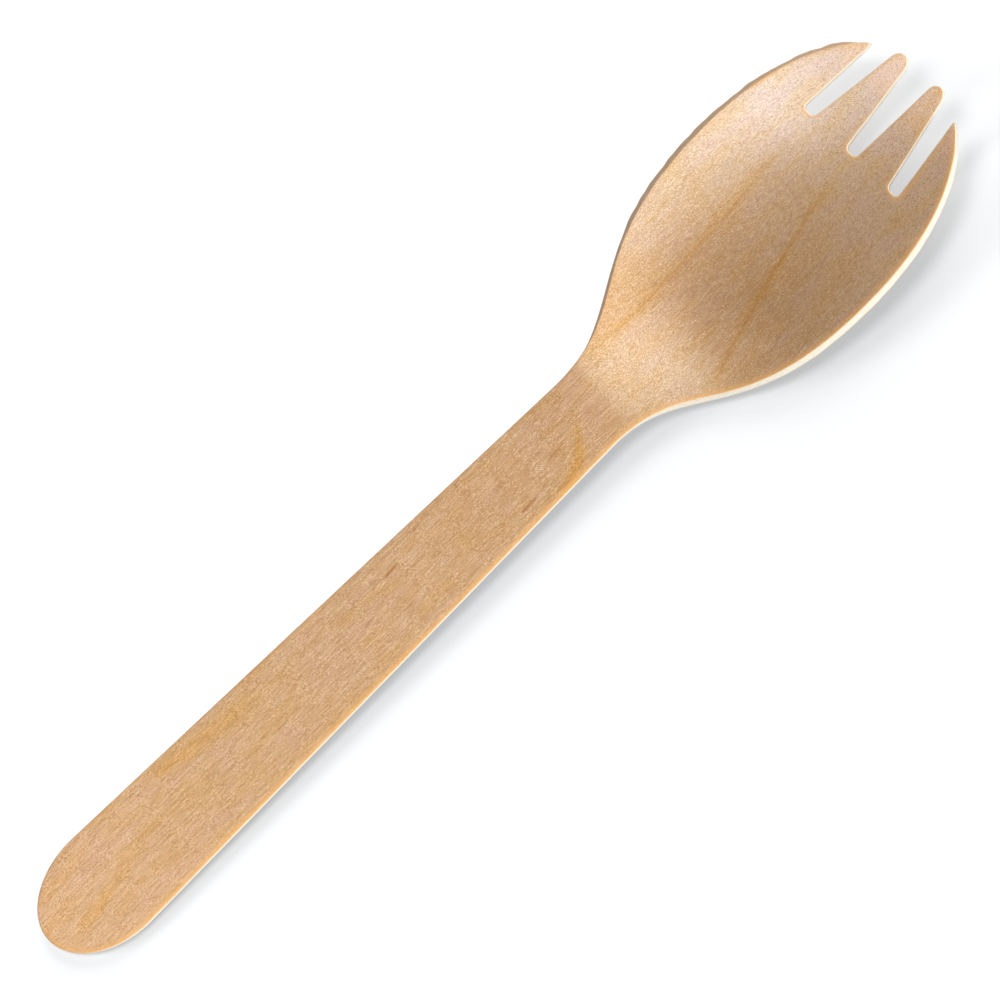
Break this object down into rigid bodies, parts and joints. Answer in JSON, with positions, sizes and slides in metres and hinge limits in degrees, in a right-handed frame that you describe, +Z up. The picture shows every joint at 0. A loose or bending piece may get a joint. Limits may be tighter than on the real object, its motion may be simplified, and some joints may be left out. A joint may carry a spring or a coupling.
{
  "type": "wooden spork",
  "caption": "Disposable eating tool pressed from a sheet of birch veneer: a flat tapered handle with a round end, and a shallow bowl whose tip is slotted into tines.",
  "frame": {"origin": "middle of the bounding box in plan, on the table the spork lies on", "axes": "+X runs from the end of the handle to the tines, +Z is up out of the bowl, +Y is to the left when looking along +X"},
  "size_m": [0.1598, 0.0328, 0.0104],
  "materials": {
    "veneer": "satin"
  },
  "bodies": {
    "root": {"spork": "veneer"}
  },
  "joints": []
}
